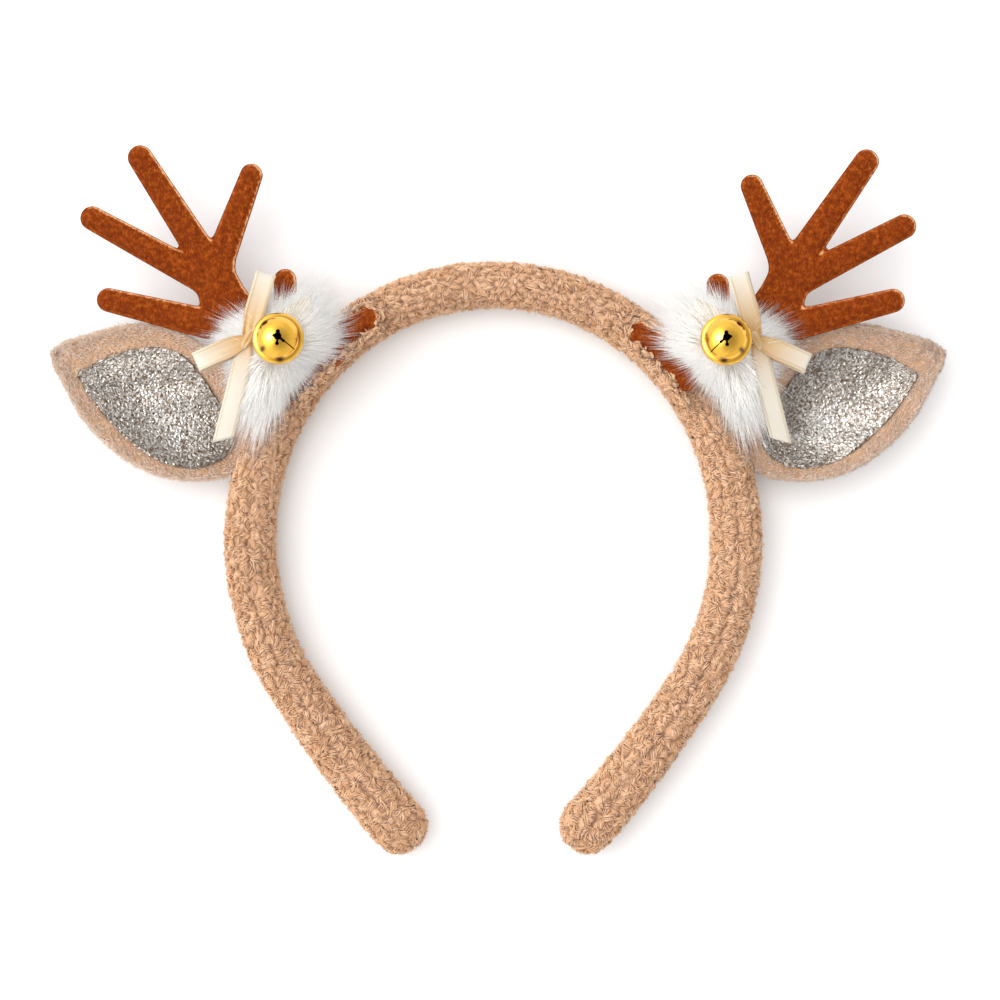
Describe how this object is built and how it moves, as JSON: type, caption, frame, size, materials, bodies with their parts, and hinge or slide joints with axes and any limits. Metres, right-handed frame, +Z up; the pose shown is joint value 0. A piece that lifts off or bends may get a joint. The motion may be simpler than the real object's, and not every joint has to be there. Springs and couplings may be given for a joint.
{
  "type": "reindeer antler headband",
  "caption": "Plush alice band with padded velour antlers, cupped ears lined in glitter fabric, white fur tufts, satin bows and jingle bells.",
  "frame": {"origin": "centre of the bounding box in plan, on the surface that the band's back edge lies on", "axes": "+X to the right across the band as seen from its front, +Y from the tips to the crown, +Z up out of the surface, the way the front of the headband faces"},
  "size_m": [0.2654, 0.2119, 0.0442],
  "materials": {
    "plush": "curly sherpa pile",
    "ear_plush": "short brushed pile",
    "velour": "short dense velour pile",
    "glitter": "silver glitter",
    "fur": "long soft hair",
    "satin": "satin",
    "gold": "polished",
    "steel": "plain"
  },
  "bodies": {
    "root": {"band": "plush", "antler_left": "velour", "ear_left": "ear_plush", "ear_panel_left": "glitter", "fur_left": "fur", "bow_left": "satin", "bell_left": "gold", "bell_pellet_left": "steel", "antler_right": "velour", "ear_right": "ear_plush", "ear_panel_right": "glitter", "fur_right": "fur", "bow_right": "satin", "bell_right": "gold", "bell_pellet_right": "steel"}
  },
  "joints": []
}
